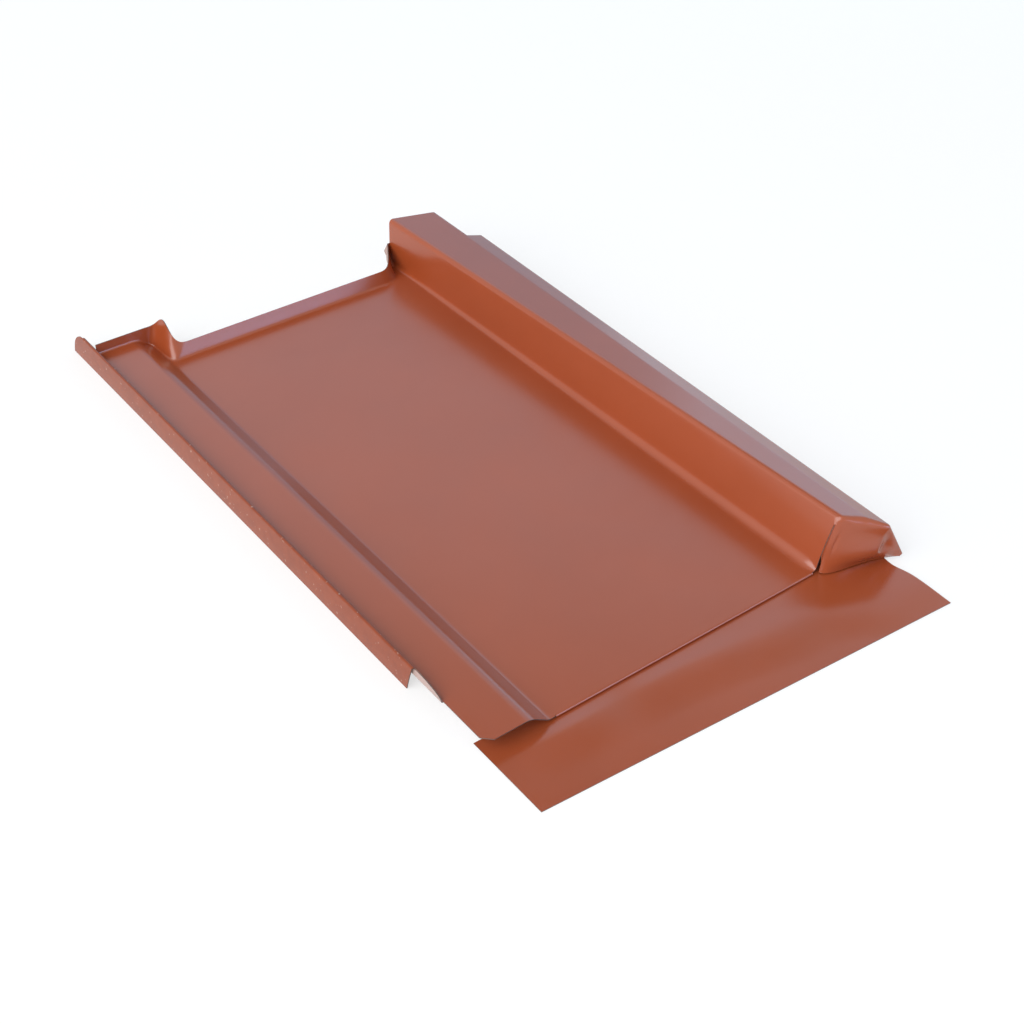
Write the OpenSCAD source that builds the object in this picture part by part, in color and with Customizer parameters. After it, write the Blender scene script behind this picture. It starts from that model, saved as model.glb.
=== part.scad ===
// Pressed steel roof plate that stands in for one interlocking tile, with a
// soft aluminium apron crimped into its front fold.
// X runs across the roof, Y up the roof slope, Z up. The floor is z = 0.

/* [Sheet] */
// Thickness of the coated steel sheet
sheet_t = 0.6; // [0.5:0.05:1]
// Radius of the press bends, on the coated side
bend_r = 2.5; // [1.5:0.25:3.5]

/* [Pan] */
// Width of the flat pan, from the foot of the step to the foot of the rib
pan_w = 185; // [150:1:260]
// Length of the pan, from the front fold to its back upstand
pan_len = 393; // [320:1:460]
// Height of the back upstand above the pan
pan_upstand = 8.6; // [6:0.1:14]
// How far the pan's back upstand leans back at its top
pan_upstand_lean = 3; // [0:0.1:5]
// Height of the folded end of that upstand, beside the rib
fold_rise = 14.8; // [10:0.1:20]

/* [Side strip] */
// Width of the level strip beside the pan
strip_w = 28.2; // [20:0.1:45]
// Height of the strip above the pan
strip_rise = 7.5; // [4:0.1:10]
// Width of the sloping step between strip and pan
step_w = 11; // [7:0.1:14]
// How much further back than the pan the strip and the rib reach
back_reach = 24; // [16:0.5:30]
// Height of the back upstand above the strip
strip_upstand = 6.9; // [5:0.1:12]
// Extra height of the ear where the two upstands join
ear_rise = 9.5; // [0:0.1:12]
// Side of the corner cut off the strip's front
strip_chamfer = 5; // [1:0.1:9]

/* [Water hem] */
// Width of the inverted hem outside the strip
hem_w = 3.2; // [2.6:0.1:6]
// Height of the hem above the strip
hem_rise = 6; // [4:0.1:12]
// Distance from the front edge to the hem's outer flange
hem_setback = 57.6; // [40:0.1:90]
// Length of the low tongue in front of the hem
hem_tongue = 23; // [10:0.1:30]
// How far the hem runs on behind the strip
hem_tail = 28.4; // [14:0.1:40]
// How far that tail leans forward from its foot to its crest
tail_rake = 3.9; // [0:0.1:6]
// Radius of the hem's upper back corner
hem_corner = 10; // [1:0.1:13]
// How much further back the hem's outer flange starts at its foot than at its crest
hem_rake = 3.4; // [0:0.1:10]

/* [Rib] */
// Height of the rib above the pan
rib_h = 33; // [24:0.1:45]
// Overhang of the rib's top edge at the back
rib_lean_back = 0.9; // [0.5:0.1:12]
// Overhang of the rib's top edge at the front
rib_lean_front = 11.4; // [2:0.1:16]
// Width of the rib's flat top at the back
rib_top_back = 34.4; // [25:0.1:45]
// Width of the rib's flat top at the front
rib_top_front = 14.6; // [10:0.1:30]
// Width of the falling shoulder at the back
rib_shoulder_back = 14.5; // [10:0.1:20]
// Width of the falling shoulder at the front
rib_shoulder_front = 10.3; // [6:0.1:16]
// Fall of the top, left to right, before the shoulder
rib_top_fall = 3.3; // [1:0.1:6]
// Fall of the shoulder
rib_shoulder_fall = 4.4; // [2:0.1:8]
// Run of the right skirt at the back
rib_skirt_back = 3.5; // [1:0.1:12]
// Run of the right skirt at the front
rib_skirt_front = 15; // [4:0.1:20]
// How far the rib's outer side reaches in front of the pan
rib_nose = 17; // [5:0.1:25]
// How much further forward the skirt reaches at its foot
skirt_reach = 2; // [0:0.1:5]
// Radius of the bend at the foot of the rib's left wall, at the back
rib_foot_back = 2.5; // [1.5:0.1:9]
// Radius of that bend at the front
rib_foot_front = 8; // [1.5:0.1:9]
// Length over which that bend tightens again towards the front fold
rib_foot_mouth = 8; // [3:0.5:15]
// Hollow of the rib's left wall at the front
rib_hollow = 1.2; // [0:0.1:2]
// How much the rib's back edge draws in on its outer side
rib_back_rake = 4.5; // [0:0.1:9]
// Length of the notch at the rib's back corner
rib_notch = 45; // [20:0.5:70]
// Gap between the closed end's lower edge and the apron
end_gap = 0.8; // [0.3:0.1:3]
// Forward bulge of the closed end on its outer side
end_bulge = 3.5; // [0:0.1:6]

/* [Front seam] */
// Depth of the fold under the pan's front edge
seam_depth = 10; // [7:0.5:16]
// Clearance between the layers of the seam
seam_gap = 0.1; // [0.1:0.05:0.3]

/* [Apron] */
// Thickness of the apron
apron_t = 0.5; // [0.4:0.05:1]
// Reach of the apron in front of the fold, at its left corner
apron_left = 42; // [20:0.5:90]
// Reach of the apron in front of the fold, at its right corner
apron_right = 59.5; // [20:0.5:110]
// How far the apron runs on past the pan on the left
apron_past_pan = 37.5; // [10:0.5:39]
// How far the apron runs in under the rib
apron_under_rib = 41; // [10:0.5:45]
// Height of the apron's gentle waves
apron_wave = 1.2; // [0:0.1:2.5]
// How far the apron's right edge draws in beside the closed end
apron_nip = 2; // [0:0.1:4]

/* [Hidden] */
arc_steps = 4;          // facets in a press bend
corner_steps = 12;      // lines through each pressed back corner
end_steps = 3;          // rows down the rib's closed end
wave_steps = 16;        // lines across the apron between its fixed places
fold_start = 4.5;       // where the front fold begins, from the pan's left side

// Layers of the seam, from the floor up: apron, fold, apron's hook, pan
fold_z = apron_t + seam_gap;
hook_z = fold_z + sheet_t + seam_gap;
pan_z = hook_z + apron_t + seam_gap + sheet_t;
fold_r = (pan_z - fold_z) / 2;
hook_r = (hook_z + apron_t) / 2;

strip_z = pan_z + strip_rise;
strip_len = pan_len + back_reach;
hem_z = strip_z + hem_rise;
strip_x = -step_w - strip_w;
hem_r = hem_w / 2;
seam_y = sheet_t + 0.1;             // front edge of the rib's wall, behind the closed end

// ---- helpers ----
function mix(a, b, t) = a + (b - a) * t;
function clamp(v, low, high) = min(max(v, low), high);
function unit(v) = v / max(norm(v), 1e-9);
function bezier(a, b, c, d, t) =
    a * pow(1 - t, 3) + b * 3 * t * pow(1 - t, 2) + c * 3 * t * t * (1 - t) + d * pow(t, 3);
function span(a, b, n) = [for (i = [0:n]) mix(a, b, i / n)];
function rest(v) = [for (i = [1:len(v) - 1]) v[i]];

// A smooth hill from 0 to 1 and back, highest at t = peak
function hill(t, peak) =
    let (w = t < peak ? t / peak / 2 : clamp(0.5 + (t - peak), 0.5, 1)) (1 - cos(360 * w)) / 2;

// Corner b of the line a-b-c, rounded with radius r, as n + 1 points
function round_corner(a, b, c, r, n) =
    let (u = unit(a - b), v = unit(c - b),
         half = acos(clamp(u * v, -1, 1)) / 2,
         reach = r / tan(half),
         mid = b + unit(u + v) * r / sin(half),
         from = b + u * reach - mid, to = b + v * reach - mid,
         turn = 180 - 2 * half,
         side = cross([from.x, from.y], [to.x, to.y]) > 0 ? 1 : -1)
    [for (i = [0:n]) let (w = side * turn * i / n)
        mid + [from.x * cos(w) - from.y * sin(w), from.x * sin(w) + from.y * cos(w)]];

// A ramp from 0 to 1 whose two corners are rounded over e
function ease(t, e) =
    t < -e ? 0 : t < e ? pow(t + e, 2) / (4 * e) :
    t < 1 - e ? t : t < 1 + e ? 1 - pow(1 + e - t, 2) / (4 * e) : 1;

// Height of the floor at x: level strip, sloping step and level pan, with soft bends
function floor_z(x) = pan_z + strip_rise * ease(-x / step_w, 0.16);

// ---- the plate as a grid of lines ----
// Each line runs from front to back and is held as
// [kind, section point at the back, at the front, in the mouth, foot, top].
// The mouth is the short stretch behind the front fold, and foot and top say
// how the back upstand stands on that line.
HEM = 0; STRIP = 1; PAN = 2; WALL = 3; COVER = 4; BRIM = 5;
function level_line(kind, x, foot, top) = let (p = [x, floor_z(x)]) [kind, p, p, p, foot, top];

hem_out = strip_x - hem_w;
hem_section = concat(
    [for (k = [0:6]) [hem_out, mix(0, hem_z - hem_r, k / 7)]],
    round_corner([hem_out, 0], [hem_out, hem_z], [strip_x, hem_z], hem_r, 4),
    rest(round_corner([hem_out, hem_z], [strip_x, hem_z], [strip_x, strip_z], hem_r, 4)),
    [for (k = [1:2]) [strip_x, mix(hem_z - hem_r, strip_z + 1, k / 3)]],
    round_corner([strip_x, hem_z], [strip_x, strip_z], [0, strip_z], 0.8, 3));
hem_lines = [for (p = hem_section) [HEM, p, p, p]];

corner_a = -step_w * 0.36;
corner_b = fold_start;
strip_left = strip_x + 0.9;
chamfer_end = strip_x + strip_chamfer + 1;
strip_xs = concat([strip_left, chamfer_end, -step_w - 5], span(-step_w * 1.16, -step_w * 0.84, 3));
strip_lines = [for (x = strip_xs) level_line(STRIP, x,
    [x, strip_len, floor_z(x)], [x, strip_len + 0.4, strip_z + strip_upstand])];

// Pressed corner between the strip's upstand and the pan's upstand, with its ear
pan_top_y = pan_len + pan_upstand_lean;
left_corner = [for (i = [0:corner_steps]) let (
    t = i / corner_steps,
    foot = bezier([corner_a, strip_len], [corner_a + 7.5, strip_len],
                  [corner_b - 7.5, pan_len], [corner_b, pan_len], t),
    top = bezier([corner_a, strip_len + 0.4], [corner_a + 18, strip_len + 0.4],
                 [corner_b - 8, pan_top_y], [corner_b + 10, pan_top_y], t),
    top_z = mix(strip_z + strip_upstand, pan_z + pan_upstand, t) + ear_rise * hill(t, 0.45))
    level_line(i < corner_steps ? STRIP : PAN, mix(-step_w * 0.65, corner_b, pow(t, 1.8)),
        [foot.x, foot.y, floor_z(foot.x)], [top.x, top.y, top_z])];

pan_lines = [for (x = [corner_b + 14, pan_w / 2, pan_w - 40]) level_line(PAN, x,
    [x, pan_len, pan_z], [x, pan_top_y, pan_z + pan_upstand])];

// Folded corner between the pan's upstand and the rib. The bend at the foot of
// the rib's wall starts where each section says.
function wall_start(foot_r, lean) = pan_w - foot_r * tan((90 - atan(lean / rib_h)) / 2);
wall_back = wall_start(rib_foot_back, rib_lean_back);
wall_front = wall_start(rib_foot_front, rib_lean_front);
wall_mouth = wall_start(bend_r, rib_lean_front);
wall_gap = 0.6;                         // the folded corner's last line to the wall's first
heel = 7;                               // its foot stops this far short of the rib's back edge
heel_rise = 4;                          // and the wall's back edge is cut away below this height
corner_c = pan_w - 22;
foot_end = wall_back - bend_r - wall_gap / 2;
right_corner = [for (i = [0:corner_steps]) let (
    t = i / corner_steps,
    foot = bezier([corner_c, pan_len], [foot_end - 3, pan_len], [foot_end - 0.8, pan_len + 5],
                  [foot_end, strip_len - heel], t),
    top = bezier([corner_c, pan_top_y], [pan_w - 13, pan_top_y], [pan_w - 11.5, pan_top_y + 4],
                 [pan_w - 1, strip_len - 0.2], t))
    concat(
        [PAN], [for (wall = [wall_back, wall_front, wall_mouth]) [mix(corner_c, wall - wall_gap, t), pan_z]],
        [[foot.x, foot.y, pan_z], [top.x, top.y, pan_z + mix(pan_upstand, fold_rise, t * t)]])];

// Rib: left wall, top, shoulder and right skirt, as sections at the back, the front and the mouth
function rib_corners(lean, top, shoulder, skirt) = let (
    a = [pan_w, pan_z],
    b = a + [lean, rib_h],
    c = b + [top, -rib_top_fall],
    d = c + [shoulder, -rib_shoulder_fall],
    e = [d.x + skirt, 0])
    [[pan_w - 20, pan_z], a, b, c, d, e];
wall_heights = [0.25, 0.5, 0.75];
function rib_section(q, foot_r, hollow) = [for (p = concat(
    round_corner(q[0], q[1], q[2], foot_r, arc_steps),
    [for (h = wall_heights) mix(q[1], q[2], h)],
    round_corner(q[1], q[2], q[3], bend_r + 0.5, arc_steps),
    [mix(q[2], q[3], 0.4), mix(q[2], q[3], 0.75)],
    [q[3], mix(q[3], q[4], 0.5)],
    round_corner(q[3], q[4], q[5], bend_r, arc_steps),
    [mix(q[4], q[5], 0.4), mix(q[4], q[5], 0.7), q[5]]))
    p.x < q[2].x ? p - [hollow * sin(180 * (p.y - pan_z) / rib_h), 0] : p];
front_corners = rib_corners(rib_lean_front, rib_top_front, rib_shoulder_front, rib_skirt_front);
rib_back = rib_section(
    rib_corners(rib_lean_back, rib_top_back, rib_shoulder_back, rib_skirt_back), rib_foot_back, 0);
rib_front = rib_section(front_corners, rib_foot_front, rib_hollow);
rib_mouth = rib_section(front_corners, bend_r, rib_hollow);
crest_first = arc_steps + 1 + len(wall_heights);    // first and last point of the wall's top bend
crest_last = crest_first + arc_steps;
ridge = crest_last + 3;                             // where the shoulder begins
rib_lines = [for (i = [0:len(rib_back) - 1])
    [i < crest_first ? WALL : i <= ridge ? COVER : BRIM, rib_back[i], rib_front[i], rib_mouth[i]]];

lines = concat(hem_lines, strip_lines, left_corner, pan_lines, right_corner, rib_lines);
line_n = len(lines);
cover_first = line_n - len(rib_back) + crest_first;

// Rows, front to back
front_rows = 8;                     // fold under the pan, or closed end of the rib
floor_rows = 6;
back_rows = arc_steps + 2;
row_n = front_rows + floor_rows + back_rows;
floor_first = front_rows;
floor_last = front_rows + floor_rows - 1;

// Front edge of the sheet on each line
nose_from = rib_front[crest_first].x;
brow_x = front_corners[4].x;
skirt_foot = front_corners[5].x;
function front_y(i) = let (kind = lines[i][0], p = lines[i][2])
    kind == HEM ? hem_front(p) :
    kind == STRIP ? max(0, chamfer_end - p.x) :
    kind <= WALL ? 0 :
    -rib_nose * (1 - pow(1 - clamp((p.x - nose_from) / (brow_x - nose_from), 0, 1), 1.2))
        - skirt_reach * clamp((p.x - brow_x) / (skirt_foot - brow_x), 0, 1);
function hem_front(p) =
    p.x <= strip_x - hem_r ? hem_setback + hem_rake * (1 - p.y / hem_z) :
    hem_setback - hem_tongue * (1 - pow(clamp((p.y - strip_z) / hem_rise, 0, 1), 3));
function hem_back(p) = let (rise = clamp((p.y - hem_z + hem_corner) / hem_corner, 0, 1))
    strip_len + hem_tail - tail_rake * p.y / hem_z - hem_corner * (1 - sqrt(1 - rise * rise));

// A point of line i at distance y up the roof
function along(i, y) = let (
    l = lines[i],
    p = mix(l[2], l[1], y / strip_len),
    mouth = pow(1 - clamp((y - fold_r) / rib_foot_mouth, 0, 1), 2),
    q = p + (l[3] - l[2]) * mouth)
    [q.x, y, q.y];

// Outward direction of the back edge on line i, in plan
function has_foot(i) = i >= 0 && i < line_n && lines[i][0] >= STRIP && lines[i][0] <= PAN;
function outward(i) = let (
    a = lines[has_foot(i - 1) ? i - 1 : i][4],
    b = lines[has_foot(i + 1) ? i + 1 : i][4],
    d = unit([b.x - a.x, b.y - a.y]))
    [-d.y, d.x];

function floor_row(i, k) = let (
    kind = lines[i][0],
    y0 = front_y(i) + (kind == PAN ? fold_r : kind >= COVER ? bend_r : kind == WALL ? seam_y : 0))
    k == 0 ? along(i, y0) :
    k == 1 ? along(i, kind == HEM ? y0 : max(fold_r + rib_foot_mouth, y0 + 1)) :
    k == 2 ? along(i, kind == HEM ? y0 : hem_setback - hem_tongue) :
    k == 3 ? along(i, mix(hem_setback, strip_len - rib_notch, 0.5)) :
    k == 4 ? along(i, strip_len - rib_notch) :
    has_foot(i) ? bend_start(i) : along(i, kind == HEM ? strip_len : rib_back_y(lines[i][1]));
function rib_back_y(p) = strip_len - heel * clamp(1 - (p.y - pan_z) / heel_rise, 0, 1)
    - rib_back_rake * clamp((p.x - rib_back[crest_last].x) / rib_top_back, 0, 1);

function bend_start(i) =
    let (f = lines[i][4], p = [f.x, f.y] - outward(i) * bend_r) [p.x, p.y, floor_z(p.x)];

// Back rows: the upstand on strip and pan, and the hem's tail
function back_row(i, k) = let (l = lines[i])
    !has_foot(i) ? along(i, mix(strip_len, hem_back(l[1]), (k + 1) / back_rows)) :
    let (s = bend_start(i), f = l[4], g = l[5], e = f + unit(g - f) * bend_r, t = (k + 1) / arc_steps)
    k < arc_steps ? s * pow(1 - t, 2) + f * 2 * t * (1 - t) + e * t * t :
    mix(e, g, (k + 1 - arc_steps) / 2);

// Closed end of the rib: the top and skirt turn down and in to the lower edge,
// which lies just above the apron
end_z = apron_t + end_gap;
end_left = [pan_w + 1.6, -0.4, end_z];
end_in = [pan_w + 3, -7, end_z];
end_out = [pan_w + 28, -4, end_z];
end_right = [skirt_foot - bend_r - 1.6, 1.8 - rib_nose - skirt_reach, 0.7];
function end_row(i, k) = let (
    s = floor_row(i, 0),
    f = unit(s - along(i, s.y + 10)),
    e = s + f * bend_r,
    share = (lines[i][2].x - nose_from) / (skirt_foot - nose_from),
    target = bezier(end_left, end_in, end_out, end_right, share),
    out = end_bulge * hill(share, 0.75),
    d = unit(target - e),
    low = e + d * bend_r)
    k <= end_steps ? mix(target, low, k / (end_steps + 1)) + f * out * sin(90 * k / (end_steps + 1)) :
    let (w = 90 * (front_rows - k) / arc_steps) s + f * (bend_r + out) * sin(w) + d * bend_r * (1 - cos(w));

// Fold under the pan's front edge
function fold_row(i, k) = let (x = lines[i][3].x)
    k == 0 ? [x, seam_depth, fold_z] :
    let (w = 180 * (front_rows - k) / (front_rows - 1))
        [x, fold_r - fold_r * sin(w), pan_z - fold_r + fold_r * cos(w)];

function grid_point(i, k) =
    k < front_rows && lines[i][0] == PAN ? fold_row(i, k) :
    k < front_rows && lines[i][0] >= COVER ? end_row(i, k) :
    k <= floor_last ? floor_row(i, max(k - front_rows, 0)) :
    back_row(i, k - floor_last - 1);

// Cell (i, k) lies between lines i, i + 1 and rows k, k + 1
function cell_on(i, k) = let (a = lines[i][0], b = lines[i + 1][0])
    k < floor_first ? (a == PAN && b == PAN) || i >= cover_first :
    k < floor_first + 2 ? a != HEM :
    k < floor_last - 1 ? true :
    k == floor_last - 1 ? b != BRIM :
    a == HEM && b == HEM ? true :
    has_foot(i) && has_foot(i + 1);

coat = [for (i = [0:line_n - 1]) [for (k = [0:row_n - 1]) grid_point(i, k)]];
plate_on = [for (i = [0:line_n - 2]) [for (k = [0:row_n - 2]) cell_on(i, k)]];

// ---- sheets made from a grid and a table of the cells that are on ----
function cell_normal(g, i, k) = unit(cross(g[i + 1][k + 1] - g[i][k], g[i][k + 1] - g[i + 1][k]));
function sum(v, i = 0) = i >= len(v) ? [0, 0, 0] : v[i] + sum(v, i + 1);
function is_on(on, i, k) = i >= 0 && k >= 0 && i < len(on) && k < len(on[0]) && on[i][k];
function on_floor(p) = [p.x, p.y, max(p.z, 0)];
function point_normal(g, on, i, k) =
    unit(sum([for (a = [i - 1, i], b = [k - 1, k]) if (is_on(on, a, b)) cell_normal(g, a, b)]));

// A closed sheet of thickness t behind the grid g
module sheet(g, on, t) {
    n = len(g);
    m = len(g[0]);
    back = [for (i = [0:n - 1]) [for (k = [0:m - 1]) on_floor(g[i][k] - point_normal(g, on, i, k) * t)]];
    points = concat([for (l = g) each l], [for (l = back) each l]);
    function id(i, k) = i * m + k;
    faces = [for (i = [0:n - 2], k = [0:m - 2]) if (on[i][k]) each concat(
        skin(id(i, k), id(i + 1, k), id(i + 1, k + 1), id(i, k + 1)),
        skin(n * m + id(i, k), n * m + id(i, k + 1), n * m + id(i + 1, k + 1), n * m + id(i + 1, k)),
        is_on(on, i - 1, k) ? [] : rim(id(i, k), id(i, k + 1), n * m),
        is_on(on, i + 1, k) ? [] : rim(id(i + 1, k + 1), id(i + 1, k), n * m),
        is_on(on, i, k - 1) ? [] : rim(id(i + 1, k), id(i, k), n * m),
        is_on(on, i, k + 1) ? [] : rim(id(i, k + 1), id(i + 1, k + 1), n * m))];
    polyhedron(points, faces, convexity = 8);
}
function skin(a, b, c, d) = [[a, c, b], [a, d, c]];
function rim(a, b, off) = [[a, b + off, b], [a, a + off, b + off]];

module roof_plate() {
    color([0.60, 0.33, 0.27]) sheet(coat, plate_on, sheet_t);
}

// ---- the apron ----
// Its underside is the grid: hook inside the fold, bend, then the sheet out to the front edge.
hook_rows = 6;
apron_back = seam_depth + 1;
hook_a = fold_start + 1.5;
hook_b = wall_mouth - 1.5;
apron_end = pan_w + apron_under_rib;
apron_xs = concat(span(-apron_past_pan, hook_a, 4),
    [for (i = [1:wave_steps]) mix(hook_a, hook_b, i / wave_steps)],
    [for (i = [1:6]) mix(hook_b, apron_end, i / 6)]);
nip_y = -rib_nose - 3;
apron_ys = [0, -4, -12, nip_y, -35];
front_steps = 3;
apron_rows = hook_rows + len(apron_ys) + front_steps;

// Height of the underside: gentle waves in front of the fold
function apron_lift(x, y) = let (
    free = ease(-(y + 4) / 30, 0.2),
    wave = (1 + sin(x * 2.1 + 40) * cos(x * 0.9 - y * 1.7)) / 2)
    apron_wave * wave * free;
function apron_point(i, k) = let (
    x = apron_xs[i],
    front = -mix(apron_left, apron_right, (x + apron_past_pan) / (apron_end + apron_past_pan)),
    j = k - hook_rows - 1,
    last = len(apron_ys) - 1)
    k == 0 ? [x, fold_r + 1.2, 2 * hook_r] :
    k <= hook_rows ? let (w = 180 * (k - 1) / (hook_rows - 1))
        [x, apron_back + hook_r * sin(w), hook_r + hook_r * cos(w)] :
    let (y = j <= last ? apron_ys[j] : mix(apron_ys[last], front, (j - last) / front_steps))
        [x - nip(x, y), y, apron_lift(x, y)];
function nip(x, y) =
    apron_nip * exp(-pow((y - nip_y) / 8, 2)) * clamp((x - hook_b) / (apron_end - hook_b), 0, 1);
under = [for (i = [0:len(apron_xs) - 1]) [for (k = [0:apron_rows]) apron_point(i, k)]];
apron_on = [for (i = [0:len(apron_xs) - 2]) [for (k = [0:apron_rows - 1])
    k >= hook_rows || (apron_xs[i] >= hook_a && apron_xs[i + 1] <= hook_b + 0.001)]];

module apron() {
    color([0.58, 0.31, 0.24]) sheet(under, apron_on, apron_t);
}

// ---- the part stands on the floor, centred on its own box ----
right_x = max(skirt_foot, mix(skirt_foot, rib_back[len(rib_back) - 1].x, 1 - rib_notch / strip_len));
centre = [(strip_x - hem_w + right_x) / 2, (strip_len + hem_tail - apron_right) / 2, 0];

translate(-centre) roof_plate();
translate(-centre) apron();
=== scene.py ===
import math
import bmesh
import bpy
import numpy as np
from mathutils import Matrix, Vector


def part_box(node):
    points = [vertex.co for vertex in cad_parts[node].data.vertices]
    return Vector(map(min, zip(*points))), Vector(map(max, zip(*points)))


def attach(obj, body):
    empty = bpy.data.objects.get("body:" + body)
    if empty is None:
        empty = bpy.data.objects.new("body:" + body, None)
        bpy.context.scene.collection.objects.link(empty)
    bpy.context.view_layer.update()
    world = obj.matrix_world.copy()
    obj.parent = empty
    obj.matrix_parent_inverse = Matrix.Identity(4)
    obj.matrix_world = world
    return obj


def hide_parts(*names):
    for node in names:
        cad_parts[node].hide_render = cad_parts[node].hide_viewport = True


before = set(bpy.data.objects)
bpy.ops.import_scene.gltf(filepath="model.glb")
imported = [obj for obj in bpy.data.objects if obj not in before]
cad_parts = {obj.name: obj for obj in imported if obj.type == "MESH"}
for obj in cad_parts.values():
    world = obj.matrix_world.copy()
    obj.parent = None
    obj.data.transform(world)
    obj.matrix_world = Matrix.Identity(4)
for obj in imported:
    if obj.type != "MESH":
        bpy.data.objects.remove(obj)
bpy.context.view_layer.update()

plateLow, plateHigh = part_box("roof_plate")

cameraSetup = {
    "place": (-0.43472, -0.59825, 0.55491),   # metres
    "pitch": 38.77,                           # degrees below the horizon
    "yaw": 37.635,                            # degrees to the right of +Y
    "roll": 0.70,
    "lens": 54.61,                            # mm on a 36 mm sensor
}


def addCamera(setup):
    data = bpy.data.cameras.new("studioCamera")
    data.lens = setup["lens"]
    data.sensor_width = 36
    data.clip_start = 0.02
    camera = bpy.data.objects.new("studioCamera", data)
    bpy.context.scene.collection.objects.link(camera)
    turn = Matrix.Rotation(math.radians(-setup["yaw"]), 3, "Z")
    tilt = Matrix.Rotation(math.radians(90 - setup["pitch"]), 3, "X")
    roll = Matrix.Rotation(math.radians(setup["roll"]), 3, "Z")
    camera.rotation_euler = (turn @ tilt @ roll).to_euler()
    camera.location = setup["place"]
    bpy.context.scene.camera = camera
    return camera


addCamera(cameraSetup)
print("camera set")


def mix(a, b, t):
    return a + (b - a) * t


def clamp(value, low=0.0, high=1.0):
    return min(max(value, low), high)


def unit(v):
    return v / max(float(np.linalg.norm(v)), 1e-12)


def ease(t, low, high):  # a ramp from 0 to 1 whose two corners are rounded over low and high
    if t < -low:
        return 0.0
    if t < low:
        return (t + low) ** 2 / (4 * low)
    if t < 1 - high:
        return t
    return 1 - (1 + high - t) ** 2 / (4 * high) if t < 1 + high else 1.0


def smooth(t):
    t = clamp(t)
    return t * t * (3 - 2 * t)


def bell(distance, width):
    return math.exp(-(distance / width) ** 2)


def bezier(a, b, c, d, t):
    return a * (1 - t) ** 3 + b * 3 * t * (1 - t) ** 2 + c * 3 * t * t * (1 - t) + d * t ** 3


def hill(t, peak):       # 0 at both ends, 1 at the peak
    w = t / peak / 2 if t < peak else clamp(0.5 + (t - peak), 0.5, 1)
    return (1 - math.cos(2 * math.pi * w)) / 2


def vec(*values):
    return np.array(values, float)


def roundCorner(a, b, c, radius, steps):   # corner b of the outline a, b, c as an arc
    a, b, c = vec(*a), vec(*b), vec(*c)
    u, v = unit(a - b), unit(c - b)
    half = math.acos(clamp(float(u @ v), -1, 1)) / 2
    middle = b + unit(u + v) * radius / math.sin(half)
    start = b + u * radius / math.tan(half) - middle
    end = b + v * radius / math.tan(half) - middle
    turn = math.pi - 2 * half
    if start[0] * end[1] - start[1] * end[0] < 0:
        turn = -turn
    points = []
    for k in range(steps + 1):
        w = turn * k / steps
        points.append(middle + vec(start[0] * math.cos(w) - start[1] * math.sin(w),
                                   start[0] * math.sin(w) + start[1] * math.cos(w)))
    return points


def gridMesh(name, grid, cellOn):          # one layer of quads from a grid of points
    lines, rows = len(grid), len(grid[0])
    used, faces = {}, []

    def index(i, k):
        return used.setdefault((i, k), len(used))

    for i in range(lines - 1):
        for k in range(rows - 1):
            if cellOn(i, k):
                faces.append((index(i, k), index(i + 1, k), index(i + 1, k + 1), index(i, k + 1)))
    points = [tuple(grid[i][k]) for i, k in used]
    mesh = bpy.data.meshes.new(name)
    mesh.from_pydata(points, [], faces)
    mesh.validate()
    piece = bpy.data.objects.new(name, mesh)
    bpy.context.scene.collection.objects.link(piece)
    return piece


creaseAngle = math.radians(40)             # bends sharper than this show as a crease


def thicken(piece, thickness, front, back, edge):   # sheet metal behind the coated face
    for material in (front, back, edge):
        piece.data.materials.append(material)
    shell = piece.modifiers.new("sheet", "SOLIDIFY")
    shell.thickness = thickness
    shell.offset = -1
    shell.use_even_offset = False
    shell.material_offset = 1
    shell.material_offset_rim = 2
    bpy.context.view_layer.update()
    solid = bpy.data.meshes.new_from_object(piece.evaluated_get(bpy.context.evaluated_depsgraph_get()))
    piece.modifiers.clear()
    piece.data = solid
    for vertex in solid.vertices:
        vertex.co.z = max(vertex.co.z, 0)
    piece.data.polygons.foreach_set("use_smooth", [True] * len(piece.data.polygons))
    piece.data.set_sharp_from_angle(angle=creaseAngle)


coatFinish = {
    "color": (0.298, 0.059, 0.018),      # linear, terracotta red-brown
    "colorSpread": 0.04,                 # share by which the colour drifts
    "cloudScale": 14,                    # noise scales, per metre
    "roughness": 0.24,
    "roughnessSpread": (-0.02, 0.03),
    "glossScale": 30,
    "ior": 1.58,
    "peel": 0.010,                       # strength of the orange peel
    "peelScale": 900,
    "peelDepth": 0.001,
    "backColor": (0.42, 0.30, 0.27),     # greyish pink backing coat
    "backSpread": (0.9, 1.06),
    "backScale": 40,
    "backRoughness": 0.45,
    "edgeColor": (0.15, 0.09, 0.07),     # cut edges of the coated steel
    "edgeSpread": (0.6, 1.1),
    "edgeScale": 700,
    "edgeMetal": 0.3,
    "edgeRoughness": 0.5,
    "hemPaintedShade": 0.82,                   # the handled hem, against the coat: painted shade, darkened because the key lamp lights this left-facing side strongly
    "wornTint": (0.84, 0.80, 0.80),
    "wornShine": 0.26,
    "grimeScale": 160,
    "speckColor": (0.40, 0.22, 0.16),
    "speckScale": 420,
    "speckRange": (0.70, 0.76),          # noise levels between which a speck starts and is full
    "speckStrength": 0.8,
}
cloudEnds = (0.3, 0.7)                   # noise levels at which a shade is at its ends


def nodeMaterial(name):
    material = bpy.data.materials.new(name)
    material.use_nodes = True
    return material, material.node_tree, material.node_tree.nodes["Principled BSDF"]


def noiseNode(tree, scale, detail=3.0, roughness=0.5):
    place = tree.nodes.new("ShaderNodeTexCoord")
    node = tree.nodes.new("ShaderNodeTexNoise")
    node.inputs["Scale"].default_value = scale
    node.inputs["Detail"].default_value = detail
    node.inputs["Roughness"].default_value = roughness
    tree.links.new(place.outputs["Object"], node.inputs["Vector"])
    return node


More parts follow.
